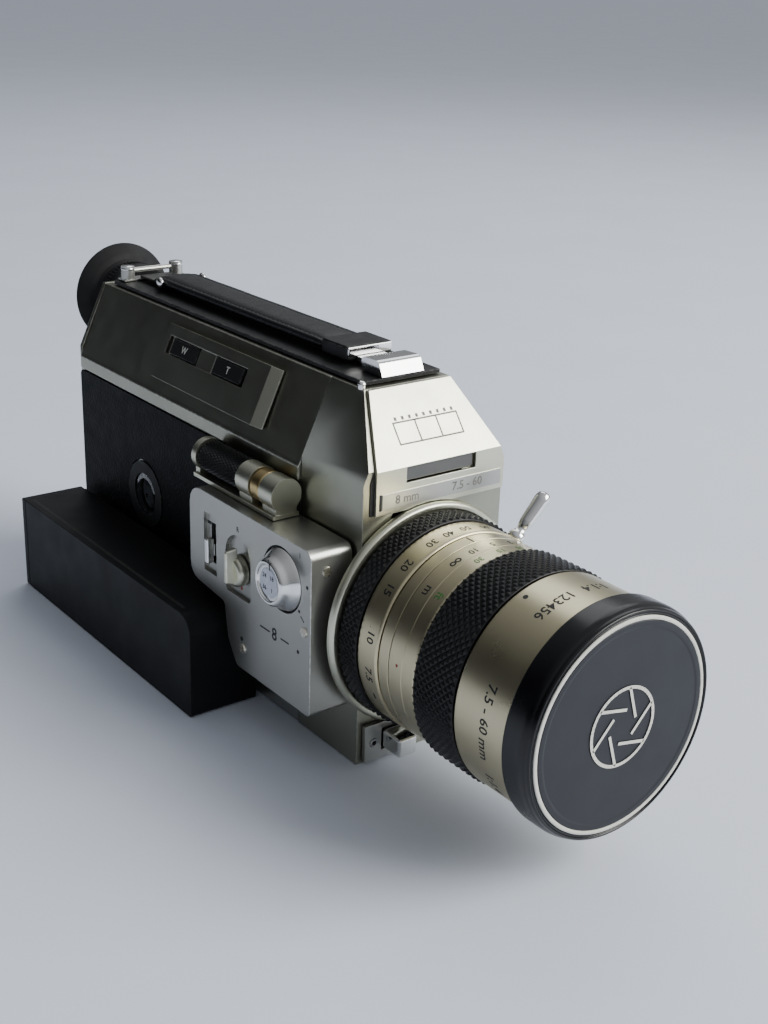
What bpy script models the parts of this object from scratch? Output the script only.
"""Cine camera for cartridge film: zoom lens with cap, slab body, side control box, folding battery grip.

Run with: blender --background --python part.py
Sizes below are millimetres; every length is turned into metres by MM when a mesh is made.
Frame: the lens axis is X = 0 and looks along -Y, Z = 0 is the flat base, Y = 0 is close to the middle.
The user's right hand side is -X.
"""

import math

import bmesh
import bpy
from mathutils import Matrix, Vector

MM = 0.001

# ---- driving dimensions --------------------------------------------------------------------------
GAP = 0.3                       # clearance kept between two touching pieces
LENS_Z = 44.0                   # height of the lens axis above the base
BODY_X = (-22.0, 28.0)          # width of the body below the shoulders
BODY_CX = sum(BODY_X) / 2       # middle of the body, a little off the lens axis
TOP_HALF = 15.0                 # half width of the narrow top
FRONT_Y = -62.2                 # front wall of the front housing
SEAM_Y = -32.0                  # where the front housing meets the body
REAR_Y = 110.0
LIP_Z = (79.0, 84.0)            # raised lip under the sloping shoulders
SHOULDER_Z = 86.5
TOP_Z = 108.4
BEND_Z = 90.0                   # where the front face starts to lean back
LEAN_Y = 14.5                   # how far back the front face leans at the top
WALL = 1.8                      # wall of the pressed covers
SLOPE = math.atan2(BODY_CX - TOP_HALF - BODY_X[0], TOP_Z - SHOULDER_Z)   # lean of the shoulders

CAP_R = 32.0                    # push-on lens cap
CAP_REAR_Y = -133.4
CAP_DEEP = 9.4
BARREL_R = 30.7                 # lens barrels
SCALE_R = 30.2
GRIP_BAND_R = 31.3
ZOOM_BAND_R = 32.0
FLANGE_R = 33.8
CORE_R = 26.8                   # fixed inner tube of the lens
STUB_R = 19.0                   # its rear end, inside the housing

BOX_X = -36.5                   # outer face of the control box
BOX_Y = (-59.0, 7.0)
BOX_Z = (18.5, 69.0)
HAND_X = (-48.0, -24.5)         # folding hand grip
HAND_Y = (-12.0, 106.0)
HAND_TOP = 33.5
HINGE_Y, HINGE_Z = 3.0, 13.0    # pivot of the hand grip

DOOR_HINGE = (28.3, 19.5)       # x, y of the film door's hinge line
CHAMBER_Y = (21.5, 104.0)
CHAMBER_Z = (4.0, 75.0)
WEB_X = (-9.0, -7.0)            # wall between film chamber and mechanism

SHUTTER_AT = (2.0, 31.0)        # x, z of the shutter shaft
GEAR_MODULE = 0.8
GEAR_TEETH, PINION_TEETH = 24, 10
GEAR_DISTANCE = GEAR_MODULE * (GEAR_TEETH + PINION_TEETH) / 2 + 0.25

EYE_Z = 100.0                   # eyepiece axis
DECK_Z = 110.0                  # top of the black deck
STRAP_HALF = 7.7
STRAP_Y = (-24.0, 88.0)

LARGE, SMALL = 48, 24           # facets of large and small round pieces


# ---- helpers -------------------------------------------------------------------------------------
def start():
    for old in list(bpy.data.objects):
        bpy.data.objects.remove(old, do_unlink=True)
    for title in ("cine_camera", "cutters"):
        group = bpy.data.collections.get(title) or bpy.data.collections.new(title)
        if group.name not in bpy.context.scene.collection.children:
            bpy.context.scene.collection.children.link(group)


def finish_of(name, colour, roughness, metallic=0.0):
    mat = bpy.data.materials.get(name)
    if mat is None:
        mat = bpy.data.materials.new(name)
        mat.use_nodes = True
        shader = mat.node_tree.nodes["Principled BSDF"]
        shader.inputs["Base Color"].default_value = (*colour, 1.0)
        shader.inputs["Roughness"].default_value = roughness
        shader.inputs["Metallic"].default_value = metallic
    return mat


FINISHES = {
    "satin_silver": ((0.72, 0.71, 0.66), 0.35, 0.9),
    "bright_chrome": ((0.85, 0.85, 0.84), 0.12, 1.0),
    "black_paint": ((0.02, 0.02, 0.022), 0.35, 0.0),
    "leatherette": ((0.018, 0.02, 0.022), 0.7, 0.0),
    "black_plastic": ((0.025, 0.026, 0.03), 0.5, 0.0),
    "rubber": ((0.02, 0.02, 0.02), 0.8, 0.0),
    "glass": ((0.1, 0.12, 0.14), 0.05, 0.0),
    "brass": ((0.6, 0.5, 0.28), 0.35, 1.0),
    "steel": ((0.5, 0.5, 0.52), 0.3, 1.0),
    "pale_enamel": ((0.8, 0.82, 0.85), 0.3, 0.0),
}


def add(mesh, name, finish, group="cine_camera"):
    obj = bpy.data.objects.new(name, mesh)
    bpy.data.collections[group].objects.link(obj)
    if group == "cutters":
        obj.hide_render = True
        obj.display_type = "WIRE"
    else:
        colour, roughness, metallic = FINISHES[finish]
        mesh.materials.append(finish_of(finish, colour, roughness, metallic))
    return obj


def point(x, y, z):
    return Vector((x, y, z)) * MM


def bevelled(obj, width, segments=1):
    if width:
        mod = obj.modifiers.new("rounded_edges", "BEVEL")
        mod.width = width * MM
        mod.segments = segments
        mod.limit_method = "ANGLE"
        mod.angle_limit = math.radians(40)
    return obj


def block(name, xs, ys, zs, finish="satin_silver", bevel=0.0, segments=1, group="cine_camera"):
    """A box between two x, two y and two z values, with its origin at its middle."""
    size = [b - a for a, b in (xs, ys, zs)]
    mesh = bpy.data.meshes.new(name)
    bm = bmesh.new()
    bmesh.ops.create_cube(bm, size=1.0, matrix=Matrix.Diagonal((*[s * MM for s in size], 1.0)))
    bm.to_mesh(mesh)
    bm.free()
    obj = add(mesh, name, finish, group)
    obj.location = point(*[(a + b) / 2 for a, b in (xs, ys, zs)])
    return bevelled(obj, bevel, segments)


AXES = {
    "front": (math.pi / 2, 0, 0),        # local Z looks along -Y
    "back": (-math.pi / 2, 0, 0),        # +Y
    "right": (0, -math.pi / 2, 0),       # -X
    "left": (0, math.pi / 2, 0),         # +X
    "up": (0, 0, 0),
}


def turned(name, profile, at, axis="front", finish="satin_silver", steps=LARGE, hollow=False,
           group="cine_camera"):
    """A lathe shape. The profile is (radius, height) pairs, down the outer side; hollow closes the loop."""
    mesh = bpy.data.meshes.new(name)
    points = [(r * MM, 0.0, h * MM) for r, h in profile]
    edges = [(i, i + 1) for i in range(len(points) - 1)]
    if hollow:
        edges.append((len(points) - 1, 0))
    mesh.from_pydata(points, edges, [])
    obj = add(mesh, name, finish, group)
    screw = obj.modifiers.new("lathe", "SCREW")
    screw.steps = screw.render_steps = steps
    screw.use_merge_vertices = True
    screw.merge_threshold = 0.00001
    obj.location = point(*at)
    obj.rotation_euler = AXES[axis] if isinstance(axis, str) else axis
    weld = obj.modifiers.new("closed_poles", "WELD")
    weld.merge_threshold = 0.00001
    return obj


def ring(name, inner, outer, low, high, at, axis="front", finish="satin_silver", steps=LARGE, **more):
    """A plain tube between two heights along its axis."""
    profile = [(outer, high), (outer, low), (inner, low), (inner, high)]
    return turned(name, profile, at, axis, finish, steps, hollow=True, **more)


def disc(name, radius, low, high, at, axis="front", finish="satin_silver", steps=SMALL, **more):
    profile = [(0, high), (radius, high), (radius, low), (0, low)]
    return turned(name, profile, at, axis, finish, steps, **more)


def rounded(corners, facets=4):
    """An outline from (a, b, radius) corners, each radius made a short arc."""
    outline = []
    for i, (a, b, radius) in enumerate(corners):
        here = Vector((a, b))
        before = Vector(corners[i - 1][:2]) - here
        after = Vector(corners[(i + 1) % len(corners)][:2]) - here
        if radius <= 0:
            outline.append((a, b))
            continue
        half = before.angle(after) / 2
        centre = here + (before.normalized() + after.normalized()).normalized() * (radius / math.sin(half))
        first = here + before.normalized() * (radius / math.tan(half)) - centre
        last = here + after.normalized() * (radius / math.tan(half)) - centre
        sweep = first.angle_signed(last)
        for k in range(facets + 1):
            turn = -sweep * k / facets
            spoke = Matrix.Rotation(turn, 2) @ first
            outline.append((centre.x + spoke.x, centre.y + spoke.y))
    return outline


def slab(name, outline, low, high, plane, finish="satin_silver", holes=(), group="cine_camera"):
    """A flat outline given thickness. plane yz stacks along X, xz along Y and xy along Z."""
    curve = bpy.data.curves.new(name, "CURVE")
    curve.dimensions = "2D"
    curve.fill_mode = "BOTH"
    curve.extrude = (high - low) / 2 * MM
    for loop in (outline, *holes):
        spline = curve.splines.new("POLY")
        spline.points.add(len(loop) - 1)
        for p, (a, b) in zip(spline.points, loop):
            p.co = (a * MM, b * MM, 0.0, 1.0)
        spline.use_cyclic_u = True
    flat = bpy.data.objects.new(name + "_outline", curve)
    bpy.context.scene.collection.objects.link(flat)
    middle = (low + high) / 2 * MM
    turns = {
        "yz": Matrix(((0, 0, 1, middle), (1, 0, 0, 0), (0, 1, 0, 0), (0, 0, 0, 1))),
        "xz": Matrix(((1, 0, 0, 0), (0, 0, -1, middle), (0, 1, 0, 0), (0, 0, 0, 1))),
        "xy": Matrix.Translation((0, 0, middle)),
    }
    bpy.context.view_layer.update()
    mesh = bpy.data.meshes.new_from_object(flat.evaluated_get(bpy.context.evaluated_depsgraph_get()))
    bpy.data.objects.remove(flat, do_unlink=True)
    mesh.materials.clear()
    bm = bmesh.new()
    bm.from_mesh(mesh)
    bmesh.ops.remove_doubles(bm, verts=bm.verts, dist=0.000005)
    bm.to_mesh(mesh)
    bm.free()
    mesh.name = name
    obj = add(mesh, name, finish, group)
    obj.matrix_world = turns[plane]
    return obj


def combine(obj, tool, operation):
    mod = obj.modifiers.new(operation.lower(), "BOOLEAN")
    mod.operation = operation
    mod.object = tool
    return obj


def cut(obj, *tools):
    for tool in tools:
        combine(obj, tool, "DIFFERENCE")
    return obj


def hole(name, radius, at, axis="front", reach=(-10, 10), steps=SMALL):
    return disc(name, radius, *reach, at, axis, steps=steps, group="cutters", finish=None)


def pocket(name, xs, ys, zs):
    return block(name, xs, ys, zs, None, group="cutters")


def merge(obj, *parts):
    """Joins touching solids into one body with a Boolean union."""
    bpy.context.view_layer.update()
    for piece in parts:
        combine(obj, piece, "UNION")
        keep = bpy.data.collections["cutters"]
        for group in list(piece.users_collection):
            group.objects.unlink(piece)
        keep.objects.link(piece)
        piece.hide_render = True
        piece.display_type = "WIRE"
    return obj


def hang(pivot_name, at, *pieces):
    """Parents moving pieces to an empty that stands on their joint's axis."""
    pivot = bpy.data.objects.new(pivot_name, None)
    pivot.location = point(*at)
    bpy.data.collections["cine_camera"].objects.link(pivot)
    bpy.context.view_layer.update()
    for piece in pieces:
        piece.parent = pivot
        piece.matrix_parent_inverse = pivot.matrix_world.inverted()
    return pivot


def gear(name, teeth, low, high, at, finish, bore):
    """A spur gear with straight-flanked teeth, thinned for backlash."""
    pitch_r = GEAR_MODULE * teeth / 2
    tip, root = pitch_r + 0.8 * GEAR_MODULE, pitch_r - 1.1 * GEAR_MODULE
    step = 2 * math.pi / teeth
    outline = []
    for i in range(teeth):
        for radius, share in ((root, -0.30), (tip, -0.13), (tip, 0.13), (root, 0.30)):
            angle = (i + share) * step
            outline.append((radius * math.cos(angle), radius * math.sin(angle)))
    rim = [(bore * math.cos(a), bore * math.sin(a)) for a in [-k * math.pi / 6 for k in range(12)]]
    wheel = slab(name, outline, low, high, "xz", finish, holes=[rim])
    wheel.location.x += at[0] * MM
    wheel.location.z += at[1] * MM
    return wheel


def section(inset=0.0, base=0.0, top=TOP_Z):
    """Cross-section of the body: upright sides, sloping shoulders, narrow flat top."""
    return [
        (BODY_X[0] + inset, base),
        (BODY_X[1] - inset, base),
        (BODY_X[1] - inset, SHOULDER_Z - inset / 2),
        (BODY_CX + TOP_HALF - inset / 2, top),
        (BODY_CX - TOP_HALF + inset / 2, top),
        (BODY_X[0] + inset, SHOULDER_Z - inset / 2),
    ]


def leaning_front(front, back, low, high, inset=0.0):
    """Side view of the front housing, with the upper part of its face leaning back."""
    lean = LEAN_Y * (high - BEND_Z) / (TOP_Z - BEND_Z)
    return [
        (front + inset, low),
        (back, low),
        (back, high),
        (front + lean + inset, high),
        (front + inset, BEND_Z),
    ]


# ---- body ----------------------------------------------------------------------------------------
def front_housing():
    shell = slab("front_housing", section(), FRONT_Y, SEAM_Y - GAP, "xz")
    profile = slab("front_profile", leaning_front(FRONT_Y, 0, -5, TOP_Z + 5), -60, 60, "yz", None,
                   group="cutters")
    combine(shell, profile, "INTERSECT")
    inside = slab("front_hollow", section(2.4, 2.4, TOP_Z - 2.0), -100, SEAM_Y + 5, "xz", None,
                  group="cutters")
    room = slab("front_room", leaning_front(FRONT_Y, 0, -5, TOP_Z + 5, 2.6), -70, 70, "yz", None,
                group="cutters")
    combine(inside, room, "INTERSECT")
    cut(shell, inside, hole("lens_bore", STUB_R + 0.4, (0, FRONT_Y, LENS_Z), steps=LARGE))
    cut(shell, pocket("meter_slot", (-8.2, 16.6), (-70, -54), (85.2, 89.8)))
    cut(shell, pocket("trigger_way", (-14.4, -6.7), (-75, -50), (3.4, 10.6)))
    cut(shell, hole("socket_way", 1.7, (-17.0, FRONT_Y, 6.6)))
    return shell


def front_plate():
    thick = 1.0
    face = FRONT_Y - GAP
    bent = slab(
        "front_plate",
        [(face, 77.2), (face, BEND_Z), (face + LEAN_Y, TOP_Z), (face + LEAN_Y - 1.2, TOP_Z),
         (face - thick, BEND_Z), (face - thick, 77.2)],
        -60, 60, "yz")
    trim = slab(
        "plate_sides",
        [(-19.8, 70), (27.4, 70), (27.4, SHOULDER_Z), (17.2, TOP_Z + 1), (-11.0, TOP_Z + 1),
         (-19.8, SHOULDER_Z)], -90, -30, "xz", None, group="cutters")
    combine(bent, trim, "INTERSECT")
    cut(bent, pocket("plate_slot", (-8.2, 16.6), (-70, -54), (85.2, 89.8)))
    cut(bent, hole("plate_round", FLANGE_R + 0.4, (0, -64, LENS_Z), steps=LARGE))
    block("meter_window", (-7.8, 16.2), (-62.6, -60.6), (85.6, 89.4), "glass")
    block("meter_cell", (-6.0, 14.4), (-59.2, -57.0), (84.4, 89.6), "black_plastic")


def top_cover():
    outer = [(-23.1, LIP_Z[0]), (-23.1, LIP_Z[1] - 0.6), (-22.3, LIP_Z[1] + 0.6),
             (BODY_CX - TOP_HALF, TOP_Z), (BODY_CX + TOP_HALF, TOP_Z), (28.3, LIP_Z[1] + 0.6),
             (29.1, LIP_Z[1] - 0.6), (29.1, LIP_Z[0])]
    inner = [(27.3, LIP_Z[0]), (27.3, LIP_Z[1]), (17.2, TOP_Z - WALL), (-11.2, TOP_Z - WALL),
             (-21.3, LIP_Z[1]), (-21.3, LIP_Z[0])]
    cover = slab("top_cover", outer + inner, SEAM_Y, REAR_Y - 2, "xz")
    rear = slab("rear_cap", section(0.0, LIP_Z[0], TOP_Z), REAR_Y - 2 + GAP, REAR_Y + GAP, "xz")
    cut(rear, hole("finder_way", 8.0, (BODY_CX, REAR_Y, EYE_Z)))
    return cover


def main_chassis():
    top = LIP_Z[0] - GAP
    body = block("main_chassis", (-20.1, BODY_X[1]), (SEAM_Y, REAR_Y), (0, top), "black_paint")
    cut(
        body,
        pocket("front_bay", (-30, 25.4), (-50, 13.6), (3, 76)),
        pocket("film_chamber", (WEB_X[1], 40), CHAMBER_Y, CHAMBER_Z),
        pocket("door_rebate", (26.0, 40), (21.3, 106.3), (1.7, 77.3)),
        pocket("mechanism_bay", (-40, WEB_X[0]), (16.6, 106.5), (3, 76)),
        hole("hinge_groove", 2.1, (DOOR_HINGE[0], DOOR_HINGE[1], 40), "up", (-35, 35)),
        hole("light_way", 4.0, (0, 18, LENS_Z), "front", (-10, 10)),
        hole("spindle_way", 2.4, (-8, 62, 40), "left", (-4, 4)),
        hole("tripod_well", 6.2, (BODY_CX, -20, 0), "up", (-2, 5)),
    )
    slab("right_side_plate",
         [(SEAM_Y + 0.2, 0.2), (REAR_Y, 0.2), (REAR_Y, top), (SEAM_Y + 0.2, top)],
         BODY_X[0] + 0.2, -20.4, "yz", "satin_silver",
         holes=[circle(62, 45, 7.0), circle(HINGE_Y, HINGE_Z, 4.3)])
    slab("right_leatherette", rounded([(9, 0.6, 1.5), (109, 0.6, 1.5), (109, 78.2, 1.5), (9, 78.2, 1.5)], 2),
         BODY_X[0] - 0.7, BODY_X[0] - 0.1, "yz", "leatherette", holes=[circle(62, 45, 12.2)])
    ring("tripod_bush", 3.2, 5.9, 0.0, 4.0, (BODY_CX, -20, 0), "up", "brass", SMALL)


def circle(a, b, radius, facets=SMALL):
    """A round loop as an outline, run the other way round so that it can be a hole."""
    turns = [-2 * math.pi * k / facets for k in range(facets)]
    return [(a + radius * math.cos(t), b + radius * math.sin(t)) for t in turns]


def counter():
    """Footage counter behind a round bezel on the right side."""
    at = (0, 62, 45)
    ring("counter_bezel", 7.4, 11.7, 22.2, 23.0, at, "right", "black_plastic", SMALL)
    dial = turned("counter_dial", [(0, 19.8), (6.2, 19.8), (6.2, 19.0), (1.2, 19.0), (1.2, 13), (0, 13)],
                  at, "right", "pale_enamel", SMALL)
    hang("counter_pivot", (-15, 62, 45), dial)


def film_door():
    x, y = DOOR_HINGE
    door = block("film_door", (26.3, 28.0), (21.6, 106.0), (2.0, 77.0), "black_paint")
    disc("door_hinge_pin", 1.7, -34, 34, (x, y, 40), "up", "bright_chrome")
    latch = block("door_latch", (BODY_X[1] + GAP, 30.6), (95, 103), (34, 46), "bright_chrome", 0.5)
    pivot = hang("door_pivot", (x, y, 40), door, latch)
    return pivot


def film_works():
    """Motor, shutter and take-up drive in the body."""
    x, z = SHUTTER_AT
    turn = math.radians(-32)
    motor_at = (x + GEAR_DISTANCE * math.cos(turn), z + GEAR_DISTANCE * math.sin(turn))
    turned("drive_motor", [(0, 28), (9.8, 28), (10.2, 27.4), (10.2, 4), (4, 4), (4, 3), (0, 3)],
           (motor_at[0], 0, motor_at[1]), "front", "steel")
    # the pinion is turned so that a tooth space faces the gear
    pinion = gear("motor_pinion", PINION_TEETH, 0.0, 5.0, motor_at, "brass", 0.9)
    mesh_turn = turn + math.pi + math.pi / PINION_TEETH
    pinion.data.transform(Matrix.Rotation(mesh_turn, 4, "Z"))
    wheel = gear("shutter_gear", GEAR_TEETH, 0.5, 4.5, (x, z), "brass", 1.5)
    wheel.data.transform(Matrix.Rotation(turn, 4, "Z"))
    hang("pinion_pivot", (motor_at[0], 2.5, motor_at[1]), pinion)
    shaft = disc("shutter_shaft", 1.2, -13.0, 1.5, (x, 0, z), "front", "steel", 16)
    opening = math.radians(150)
    blade = [(17 * math.cos(a), 17 * math.sin(a))
             for a in [math.radians(90) + opening / 2 + k * (2 * math.pi - opening) / 20 for k in range(21)]]
    blade += [(4 * math.cos(a), 4 * math.sin(a))
              for a in [math.radians(90) - opening / 2 + k * opening / 6 for k in range(7)]]
    shutter = slab("shutter_blade", blade, 8.0, 8.8, "xz", "black_paint", holes=[circle(0, 0, 1.5, 12)])
    shutter.location.x += x * MM
    shutter.location.z += z * MM
    hang("shutter_pivot", (x, 5, z), wheel, shaft, shutter)
    gate = block("film_gate", (-6.0, 9.0), (21.9, 23.2), (32, 56), "bright_chrome")
    cut(gate, pocket("gate_aperture", (-2.9, 2.9), (15, 30), (LENS_Z - 2.1, LENS_Z + 2.1)))
    spindle = turned(
        "takeup_spindle",
        [(0, -4.2), (2.6, -4.2), (2.6, -6.4), (2.0, -6.4), (2.0, -10.2), (8.0, -10.2), (8.0, -12.0),
         (0, -12.0)], (0, 62, 40), "left", "steel")
    hang("spindle_pivot", (-8, 62, 40), spindle)
    ring("finder_tube", 5.0, 6.0, -104, 20, (BODY_CX, 0, EYE_Z), "front", "black_paint", SMALL)


# ---- lens ----------------------------------------------------------------------------------------
def lens():
    at = (0, 0, LENS_Z)
    ring("lens_flange", CORE_R + GAP, FLANGE_R, -FRONT_Y + GAP, 65.2, at)
    turned("lens_core",
           [(CORE_R, 120), (CORE_R, -FRONT_Y + GAP), (STUB_R, -FRONT_Y + GAP), (STUB_R, 46), (STUB_R - 2, 46),
            (STUB_R - 2, 64.8), (24.6, 64.8), (24.6, 120)], at, finish="black_paint", hollow=True)
    ring("index_ring", CORE_R + GAP, SCALE_R, 81.7, 86.0, at)
    turned("rear_lens_group", [(0, 60), (9, 59), (16.6, 57.6), (16.6, 50), (9, 50), (0, 48)], at,
           finish="glass", steps=SMALL)

    scale = turned("zoom_scale_ring",
                   [(BARREL_R, 81.4), (BARREL_R, 73.2), (28.9, 73.2), (28.9, 65.5), (CORE_R + GAP, 65.5),
                    (CORE_R + GAP, 81.4)], at, hollow=True)
    band = ring("zoom_grip_band", 29.2, ZOOM_BAND_R, 65.5, 72.9, at, finish="rubber")
    lever_turn = math.radians(47)
    lever = turned("zoom_lever",
                   [(0, 47), (1.6, 47), (2.1, 46.4), (2.1, 37), (1.3, 36), (1.3, 31.1), (0, 31.1)],
                   (0, -77.0, LENS_Z), (0, math.pi / 2 - lever_turn, 0), "bright_chrome", 16)
    hang("zoom_pivot", (0, -73, LENS_Z), scale, band, lever)

    focus = turned("focus_scale_ring",
                   [(29.2, 113.5), (29.2, 97.2), (SCALE_R, 97.2), (SCALE_R, 86.3), (CORE_R + GAP, 86.3),
                    (CORE_R + GAP, 113.5)], at, hollow=True)
    grip = ring("focus_grip_band", 29.5, GRIP_BAND_R, 97.5, 113.4, at, finish="rubber")
    front = turned("front_barrel",
                   [(BARREL_R, 138), (BARREL_R, 113.8), (CORE_R + GAP, 113.8), (CORE_R + GAP, 122),
                    (25.9, 126), (25.9, 138)], at, hollow=True)
    glass = turned("front_lens", [(0, 134), (12, 133), (25.4, 129.5), (25.4, 126.5), (12, 125.5), (0, 125)],
                   at, finish="glass", steps=SMALL)
    pivot = hang("focus_pivot", (0, -110, LENS_Z), focus, grip, front, glass)

    y0 = -CAP_REAR_Y
    face = y0 + CAP_DEEP
    cap = turned("lens_cap",
                 [(0, face - 0.3), (30.6, face - 0.3), (30.6, face), (31.3, face - 0.3), (31.3, face - 1.8),
                  (CAP_R, face - 2.4), (CAP_R, y0), (31.0, y0), (31.0, face - 2.6), (0, face - 2.6)],
                 at, finish="black_plastic")
    hang("cap_pivot", (0, CAP_REAR_Y, LENS_Z), cap)
    return pivot


# ---- right side controls -------------------------------------------------------------------------
def control_box():
    outline = rounded([(BOX_Y[1], BOX_Z[1], 6), (BOX_Y[0], BOX_Z[1], 2.8), (BOX_Y[0], BOX_Z[0], 1.5),
                       (-20, BOX_Z[0], 2), (-15, 26, 2), (-13, 37, 1.5), (BOX_Y[1], 39, 5)])
    inner = rounded([(BOX_Y[1] - WALL, BOX_Z[1] - WALL, 4), (BOX_Y[0] + WALL, BOX_Z[1] - WALL, 0),
                     (BOX_Y[0] + WALL, BOX_Z[0] + WALL, 0), (-21, BOX_Z[0] + WALL, 0), (-16.8, 27, 0),
                     (-14.6, 39, 0), (BOX_Y[1] - WALL, 40.8, 3)])
    box = slab("control_box", outline, BOX_X, -22.9, "yz")
    cut(
        box,
        slab("box_inside", inner, BOX_X + 2.6, 0, "yz", None, group="cutters"),
        hole("dial_well", 9.9, (BOX_X, -44.5, 56), "right", (-1.6, 5), LARGE),
        hole("dial_way", 2.6, (BOX_X, -44.5, 56), "right", (-5, 5)),
        slab("lever_well", arch(), BOX_X - 5, BOX_X + 1.4, "yz", None, group="cutters"),
        hole("lever_way", 2.3, (BOX_X, -21, 50), "right", (-5, 5)),
        pocket("slider_well", (BOX_X - 5, BOX_X + 1.3), (-8.8, -1.4), (43.5, 62.5)),
        pocket("slider_way", (BOX_X - 5, BOX_X + 5), (-6.4, -3.8), (46.5, 59.5)),
    )
    dial = turned("speed_dial",
                  [(0, 4.6), (5.2, 4.6), (5.4, 5.0), (6.3, 5.0), (6.9, 4.4), (8.0, 1.2), (9.4, -0.4),
                   (9.4, -1.2), (2.2, -1.2), (2.2, -6), (0, -6)], (BOX_X, -44.5, 56), "right")
    hang("dial_pivot", (BOX_X, -44.5, 56), dial)

    lever = turned("run_lever",
                   [(0, 2.2), (4.2, 2.2), (4.8, 1.6), (4.8, -1.1), (1.9, -1.1), (1.9, -6), (0, -6)],
                   (BOX_X, -21, 50), "right")
    fin = slab("lever_fin", [(-22.1, 46.2), (-19.9, 46.2), (-20.2, 57.8), (-21.8, 57.8)],
               BOX_X - 4.6, BOX_X - 0.8, "yz")
    hang("lever_pivot", (BOX_X, -21, 50), merge(lever, fin))

    tab = block("filter_slider", (BOX_X - 1.6, BOX_X + 0.9), (-6.1, -4.1), (47, 55), "bright_chrome", 0.3)
    stem = block("slider_stem", (BOX_X, BOX_X + 3.8), (-6.0, -4.2), (49, 53), "steel")
    hang("slider_pivot", (BOX_X, -5, 51), merge(tab, stem))


def arch():
    """Round-topped recess of the run lever."""
    top = [(-21 + 7 * math.cos(a), 54 + 7 * math.sin(a)) for a in [k * math.pi / 10 for k in range(11)]]
    return top + [(-28, 42.6), (-27, 41.6), (-15, 41.6), (-14, 42.6)]


def exposure_knob():
    """Aperture knob that lies along the corner between the box and the body."""
    x, z = -28.2, 76.0
    knob = turned("exposure_knob",
                  [(0, 29), (1.9, 29), (1.9, 14), (5.0, 14), (5.0, -8), (1.9, -8), (1.9, -11), (0, -11)],
                  (x, 0, z), "front", "rubber", SMALL)
    hang("knob_pivot", (x, 0, z), knob)
    rail = block("knob_bracket", (x - 4.4, x + 4.4), (-34, 11), (BOX_Z[1] + GAP, 70.5))
    for low, high in ((14.4, 21.5), (27.0, 34.0), (-11.0, -8.4)):
        merge(rail, disc("knob_stand", 5.2, low, high, (x, 0, z), group="cutters"))
        merge(rail, pocket("knob_foot", (x - 3.6, x + 3.6), (-high + 0.1, -low - 0.1), (69.9, 74.0)))
    cut(rail, hole("knob_bore", 2.2, (x, 0, z), reach=(-20, 30.5)))


def zoom_switches(cover):
    """Wedge-shaped switch panel on the right shoulder, with one button for each zoom direction."""
    rear, front = 56.0, -11.0
    wedge = [(rear, 0), (rear, 1.0), (front + 3.6, 3.2), (front + 2.8, 3.2), (front, 0.5), (front, 0)]
    lay = shoulder_frame(96.4)
    panel = slab("switch_panel", wedge, -9.4, 9.2, "xy")
    slot = pocket("switch_slot", (3.0, 53.0), (-4.0, 9.0), (-0.5, 5.6))
    panel.matrix_world = lay
    slot.matrix_world = lay @ Matrix.Translation(slot.location)
    cut(panel, slot)
    cut(cover, slot)
    merge(panel, shoulder_block("switch_bridge", (23.0, 32.5), (-0.9, 5.9), (0.4, 1.6), lay))
    buttons = (("tele_button", (5.5, 22.0), 2.2), ("wide_button", (33.5, 50.0), 1.4))
    for name, along, height in buttons:
        button = shoulder_block(name, along, (-0.1, 5.2), (-1.6, height), lay, "black_plastic")
        middle = Vector(((along[0] + along[1]) / 2, 0, 2.55)) * MM
        hang(name + "_pivot", [c / MM for c in lay @ middle], button)


def shoulder_frame(height):
    """Axes on the right shoulder: first along Y, second out of the surface, third up the slope."""
    up = Vector((math.sin(SLOPE), 0, math.cos(SLOPE)))
    out = Vector((-math.cos(SLOPE), 0, math.sin(SLOPE)))
    along = Vector((0, 1, 0))
    share = (height - LIP_Z[1] - 0.6) / (TOP_Z - LIP_Z[1] - 0.6)
    x = -22.3 + share * (BODY_CX - TOP_HALF + 22.3)
    origin = point(x, 0, height) + out * 0.5 * MM
    return Matrix.Translation(origin) @ Matrix((along, out, up)).transposed().to_4x4()


def shoulder_block(name, along, slope, out, lay, finish="satin_silver"):
    piece = block(name, along, out, slope, finish, 0.25)
    piece.matrix_world = lay @ Matrix.Translation(piece.location)
    return piece


def trigger():
    plate = block("trigger_plate", (-20.2, -3.0), (-64.0, FRONT_Y - GAP), (0.8, 12.6), "satin_silver")
    cut(plate, pocket("plate_trigger_way", (-14.3, -6.8), (-80, -50), (3.5, 10.5)),
        hole("plate_socket_way", 1.5, (-17.0, -63, 6.6)),
        hole("flange_way", FLANGE_R + GAP, (0, -64, LENS_Z), steps=LARGE))
    button = block("trigger_button", (-13.9, -7.2), (-72.0, -57.0), (3.9, 10.1), "bright_chrome", 0.6)
    hang("trigger_pivot", (-10.5, -62, 7), button)


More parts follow.
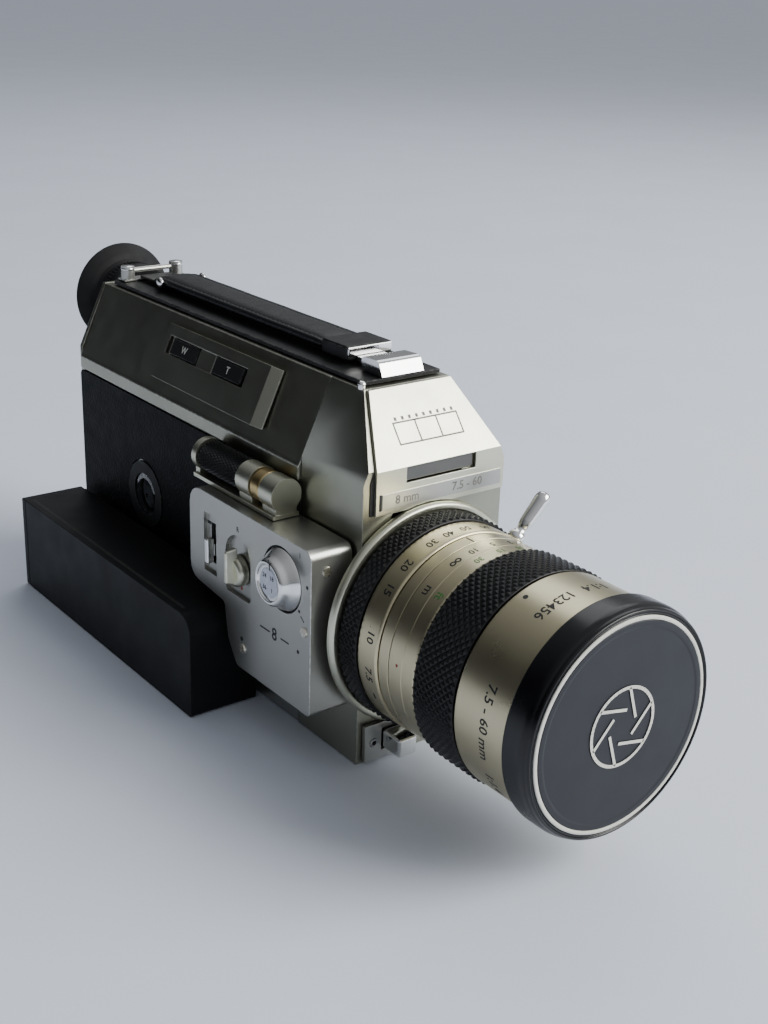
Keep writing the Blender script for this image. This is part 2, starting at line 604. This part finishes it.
# ---- hand grip, top strap, eyepiece --------------------------------------------------------------
def hand_grip():
    x0, x1 = HAND_X
    y0, y1 = HAND_Y
    outline = rounded([(y1, HAND_TOP, 0), (y0, HAND_TOP, 6), (y0, 0, 1.2), (y1, 0, 0)])
    shell = slab("grip_shell", outline, x0, x1, "yz", "black_plastic")
    cut(shell, pocket("battery_room", (x0 + 2, x1 - 2), (6, 150), (2, HAND_TOP - 2)),
        hole("grip_pivot_hole", 4.4, (x1, HINGE_Y, HINGE_Z), "right", (-5, 8.6)))
    lid = block("battery_lid", (x0, x1), (y1 + GAP, y1 + 3.4), (0, HAND_TOP), "black_plastic")
    middle = (x0 + x1) / 2
    spine = block("battery_pack", (middle - 3.0, middle + 3.0), (7.5, 105), (9.5, 24.0), "steel")
    for z, y in ((z, y) for z in (9.4, 24.1) for y in (7.0, 56.6)):
        outline = [(0, 49.4), (2.6, 49.4), (2.6, 48.2), (7.0, 48.2), (7.0, 0), (0, 0)]
        merge(spine, turned("cell", outline, (middle, y, z), "back", None, 16, group="cutters"))
    disc("grip_hinge_pin", 4.0, 20.7, 32.6, (0, HINGE_Y, HINGE_Z), "right", "steel")
    hang("grip_pivot", (x1, HINGE_Y, HINGE_Z), shell, spine)
    hang("lid_pivot", (x0, y1 + GAP / 2, HAND_TOP), lid)


def carry_strap():
    cx = BODY_CX
    block("top_deck", (cx - 13.6, cx + 13.6), (-45.8, 104), (TOP_Z + GAP, DECK_Z), "black_plastic")
    arch_side = rounded([(-46.0, DECK_Z + GAP, 0), (-36.0, DECK_Z + GAP, 0), (-36.0, 114.2, 1),
                         (-44.0, 114.6, 2)])
    front = slab("strap_front_bracket", arch_side, cx - 7.4, cx + 7.4, "yz", "bright_chrome")
    cut(front, pocket("tongue_way", (cx - 5.4, cx + 5.4), (-44.4, -20), (110.8, 113.2)))
    rear = block("strap_rear_bracket", (cx - 12.0, cx + 12.0), (98.6, 103.8), (DECK_Z + GAP, 110.8),
                 "bright_chrome")
    for side in (-1, 1):
        merge(rear, disc("rear_post", 2.4, 110.5, 115.2, (cx + side * 9.6, 101.2, 0), "up", group="cutters"))
    merge(rear, disc("rear_pin", 0.9, -9.0, 9.0, (cx, 101.2, 113.6), "left", "steel", 12))
    strap = block("carry_strap", (cx - STRAP_HALF, cx + STRAP_HALF), STRAP_Y, (111.6, 115.0),
                  "leatherette", 0.8)
    cut(strap, pocket("strap_front_step", (-50, 50), (-40, -16.5), (100, 112.8)),
        pocket("strap_front_roof", (-50, 50), (-40, -16.5), (114.0, 120)))
    merge(strap, pocket("rear_tongue", (cx - 6, cx + 6), (86, 99), (111.0, 111.9)))
    end = block("strap_end_plate", (cx - 8.1, cx + 8.1), (-30.0, -16.9), (111.2, 115.5), "black_paint", 0.5)
    cut(end, pocket("strap_socket", (cx - 7.8, cx + 7.8), (-24.3, 0), (112.5, 114.3)))
    tongue = block("strap_tongue", (cx - 4.9, cx + 4.9), (-42.5, -30.3), (111.2, 112.6), "steel")
    hang("strap_pivot", (cx, 32, 113), strap, end, tongue)


def eyepiece():
    at = (BODY_CX, 0, EYE_Z)
    turned("eyepiece_housing",
           [(13.0, -110.7), (13.0, -113.4), (10.0, -113.4), (10.0, -120), (8.2, -120), (8.2, -110.7)],
           at, "front", "black_paint", SMALL, hollow=True)
    ringpiece = ring("diopter_ring", 10.3, 13.2, -117.4, -113.8, at, "front", "black_plastic", SMALL)
    cup = turned("eyecup",
                 [(12.0, -117.7), (15.0, -120.2), (18.6, -124.4), (18.6, -125.6), (16.8, -125.2),
                  (12.4, -121.6), (10.4, -120.4), (10.3, -117.7)], at, "front", "rubber", SMALL,
                 hollow=True)
    hang("diopter_pivot", (BODY_CX, 115, EYE_Z), ringpiece, cup)


def main():
    start()
    front_housing()
    front_plate()
    cover = top_cover()
    main_chassis()
    counter()
    film_door()
    film_works()
    lens()
    control_box()
    exposure_knob()
    zoom_switches(cover)
    trigger()
    hand_grip()
    carry_strap()
    eyepiece()


main()
